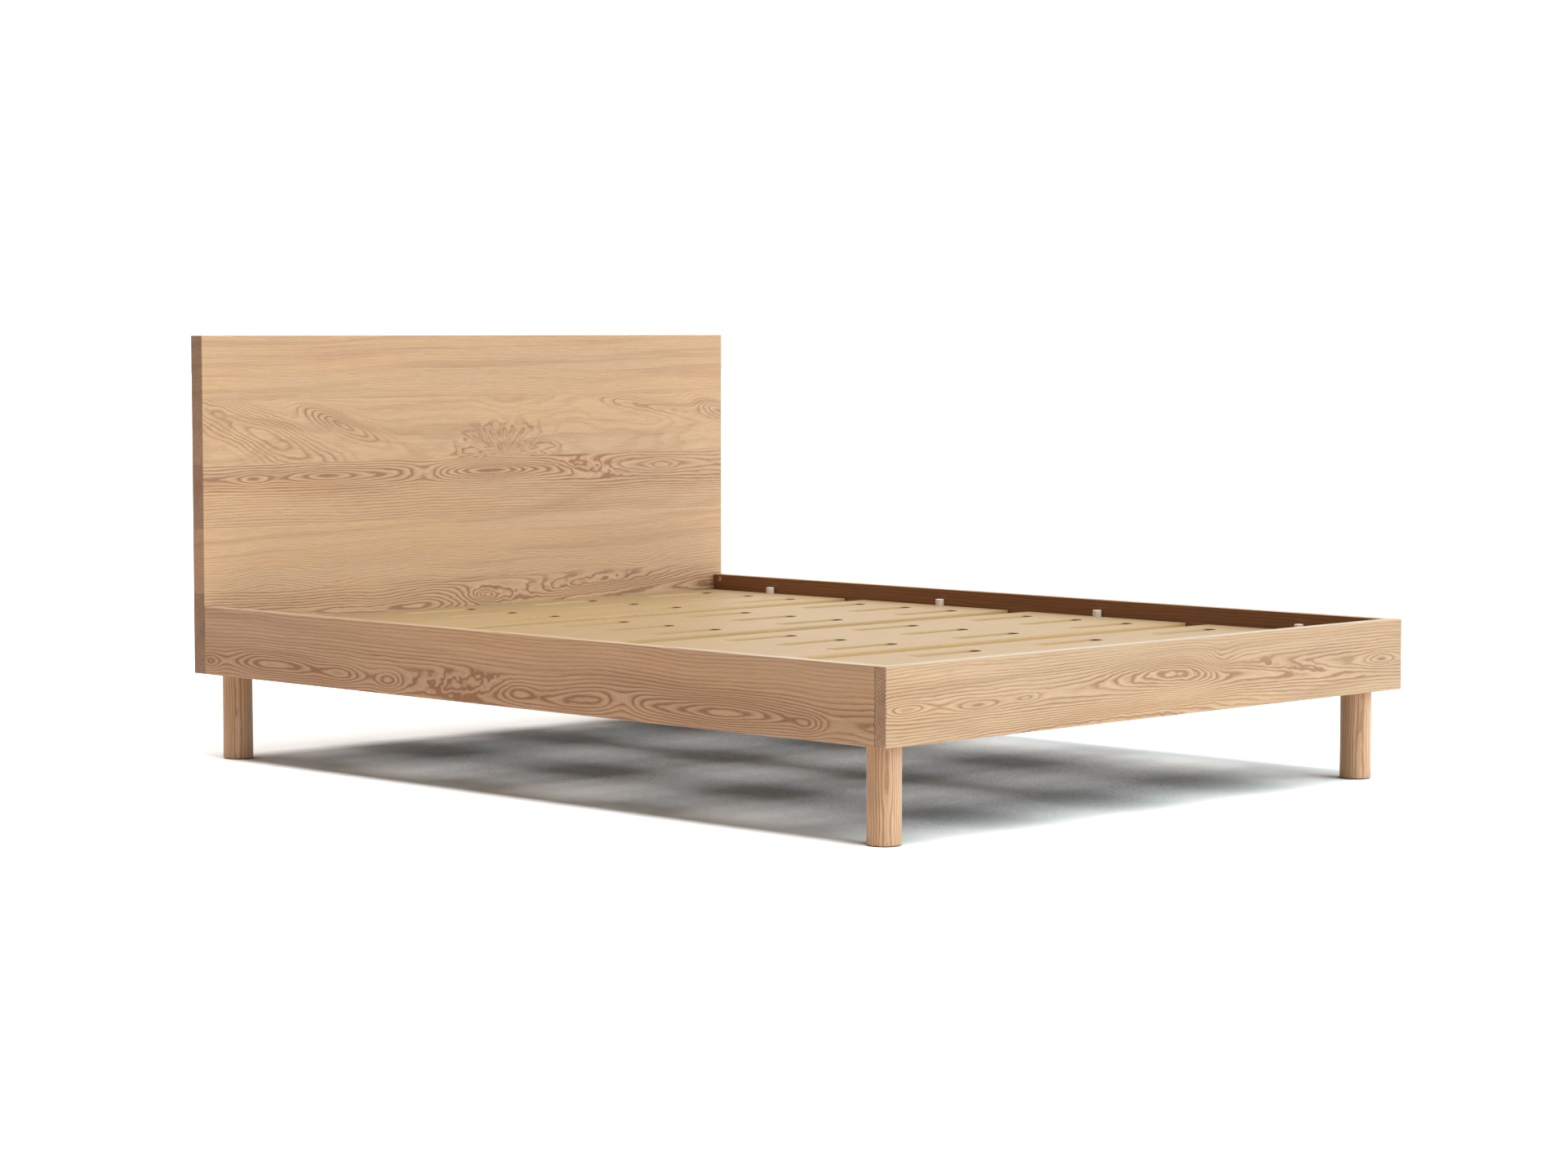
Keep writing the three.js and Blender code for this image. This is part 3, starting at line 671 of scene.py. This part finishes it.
RECESS_RADIUS = 22 * MM
RECESS_DEPTH = 2.3 * MM
BORE_RADIUS = 5.3 * MM
BORE_DEPTH = 45 * MM
LEG_FOOT_ROUND = 3 * MM
LEG_HEAD_ROUND = 0.5 * MM
GLIDE_ROUND = 0.8 * MM
PEG_ROUND = 1.2 * MM
PEG_CHAMFER = 0.6 * MM
PEG_RIM = 4 * MM
PEG_RIM_DROP = 0.1 * MM
PEG_DISH_SIDE = 0.5 * MM
PEG_DISH_DEPTH = 0.6 * MM


def corner(radius, z, round_by, upper, steps):
    """The rounded outer corner of a turned piece of that radius, at height z, as points (r, z)."""
    if upper:
        return arc((radius - round_by, z - round_by), round_by, 0, 90, steps)
    return arc((radius - round_by, z + round_by), round_by, -90, 0, steps)


def leg_profile(radius, bottom, top):
    """A leg with a recess for its glide and a bore for its bolt."""
    recess = [(0, bottom + RECESS_DEPTH), (RECESS_RADIUS, bottom + RECESS_DEPTH), (RECESS_RADIUS, bottom)]
    bore = [(BORE_RADIUS, top), (BORE_RADIUS, top - BORE_DEPTH), (0, top - BORE_DEPTH)]
    foot = corner(radius, bottom, LEG_FOOT_ROUND, False, 6)
    return recess + foot + corner(radius, top, LEG_HEAD_ROUND, True, 3) + bore


def glide_profile(radius, bottom, top):
    return [(0, bottom)] + corner(radius, bottom, GLIDE_ROUND, False, 4) + [(radius, top), (0, top)]


def peg_profile(radius, bottom, top):
    """A moulded peg with a chamfered foot, a rounded shoulder and a shallow dish in its top."""
    foot = [(0, bottom), (radius - PEG_CHAMFER, bottom), (radius, bottom + PEG_CHAMFER)]
    rim = radius - PEG_RIM
    side = (rim - PEG_DISH_SIDE, top - PEG_DISH_SIDE)
    dish = [(rim, top - PEG_RIM_DROP), side, (0, top - PEG_DISH_DEPTH)]
    return foot + corner(radius, top, PEG_ROUND, True, 6) + dish


for start, profile_of in (("leg_head", leg_profile), ("leg_foot", leg_profile), ("glide", glide_profile),
                          ("peg", peg_profile)):
    for node in names(start):
        low, high = box_of(node)
        profile = profile_of((high[0] - low[0]) / 2, low[2], high[2])
        stand_in(lathe(f"{node}_shown", profile, centre_of(node)), node)

# ---- Floor, light and camera ----

bpy.ops.mesh.primitive_plane_add(size=FLOOR_SIZE)
floor = bpy.context.object
floor.name = "floor"
plain = Graph("pale_floor")
# The floor is darker under the bed, because the photo's shadow is heavier than plain light gives
shelter = plain.add("ShaderNodeAmbientOcclusion", {"Distance": 0.7}, samples=12).outputs["AO"]
sheltered = plain.mix(plain.between(shelter, 0.16, 0.45), FLOOR_UNDER_BED, FLOOR_COLOUR)
paint(floor, plain.finish(**{"Base Color": sheltered, "Roughness": 0.9, "Specular IOR Level": 0.1}))


def sun(name, azimuth, elevation, strength, spread, colour):
    """A sun in that direction from the bed: azimuth from +X towards +Y, both in degrees."""
    light = bpy.data.lights.new(name, "SUN")
    light.energy = strength
    light.angle = radians(spread)
    light.color = colour
    obj = new_object(name, light)
    a, e = radians(azimuth), radians(elevation)
    towards = Vector((cos(e) * cos(a), cos(e) * sin(a), sin(e)))
    obj.rotation_euler = towards.to_track_quat("Z", "Y").to_euler()


def strip_light(name, tilt, strength, width, length, distance):
    """A strip high over the bed and along it, leaned to the left by tilt.

    tilt, width and length are degrees as seen from the bed. The light on the bed doesn't depend on distance.
    """
    light = bpy.data.lights.new(name, "AREA")
    light.shape = "RECTANGLE"
    light.size = 2 * distance * sin(radians(width) / 2)
    light.size_y = 2 * distance * sin(radians(length) / 2)
    light.energy = strength * pi * distance ** 2
    obj = new_object(name, light)
    obj.rotation_euler = (0, radians(-tilt), 0)
    obj.location = (-distance * sin(radians(tilt)), 0, distance * cos(radians(tilt)))


# A strip gives the shadow its crisp left edge and its soft head and foot edges
strip_light("overhead_key", 9, 4.8, 18, 66, 400)
sun("front_fill", -68, 24, 3.85, 60, (0.87, 1.07, 1.16))
sun("left_fill", 190, 18, 0.22, 60, (1.0, 0.80, 0.64))

# The studio is white behind the bed, open and bright on its right and dark on its left
world = bpy.data.worlds.new("studio")
bpy.context.scene.world = world
world.use_nodes = True


def studio_light(tree):
    nodes, links = tree.nodes, tree.links
    path = nodes.new("ShaderNodeLightPath")
    where = nodes.new("ShaderNodeSeparateXYZ")
    links.new(nodes.new("ShaderNodeTexCoord").outputs["Generated"], where.inputs[0])

    def put(value, socket):
        if isinstance(value, float):
            socket.default_value = value
        else:
            links.new(value, socket)

    def side_light(dark, bright):
        """Light that grows from dark on the bed's left to bright on its right."""
        spread = nodes.new("ShaderNodeMapRange")
        spread.interpolation_type = "SMOOTHSTEP"
        put(where.outputs[0], spread.inputs["Value"])
        for key, value in (("From Min", -0.5), ("From Max", 0.5), ("To Min", dark), ("To Max", bright)):
            put(value, spread.inputs[key])
        return spread.outputs[0]

    def switch(test, otherwise, value):
        """value where test is 1 and otherwise where it is 0; both are numbers, this node's inputs 3 and 2."""
        choose = nodes.new("ShaderNodeMix")
        put(test, choose.inputs[0])
        put(otherwise, choose.inputs[2])
        put(value, choose.inputs[3])
        return choose.outputs[0]

    soft = side_light(0.03, 0.32)
    mirrored = side_light(0.2, 2.0)
    seen = switch(path.outputs["Is Glossy Ray"], soft, mirrored)
    links.new(switch(path.outputs["Is Camera Ray"], seen, 1.1), nodes["Background"].inputs["Strength"])
    nodes["Background"].inputs["Color"].default_value = (1, 1, 1, 1)


studio_light(world.node_tree)

# Solved from the photo's perspective: the camera's place in metres, and its dip and turn in degrees
CAMERA_PLACE = (-5.6705, -5.6631, 0.9523)
CAMERA_DIP = 3.987
CAMERA_TURN = -45.037

camera_data = bpy.data.cameras.new("photo_view")
camera_data.sensor_width = 36
camera_data.lens = 84.85
camera_data.clip_end = 400
camera = new_object("photo_view", camera_data)
camera.location = CAMERA_PLACE
camera.rotation_euler = (radians(90 - CAMERA_DIP), 0, radians(CAMERA_TURN))
bpy.context.scene.camera = camera
bpy.context.scene.view_settings.view_transform = "Standard"
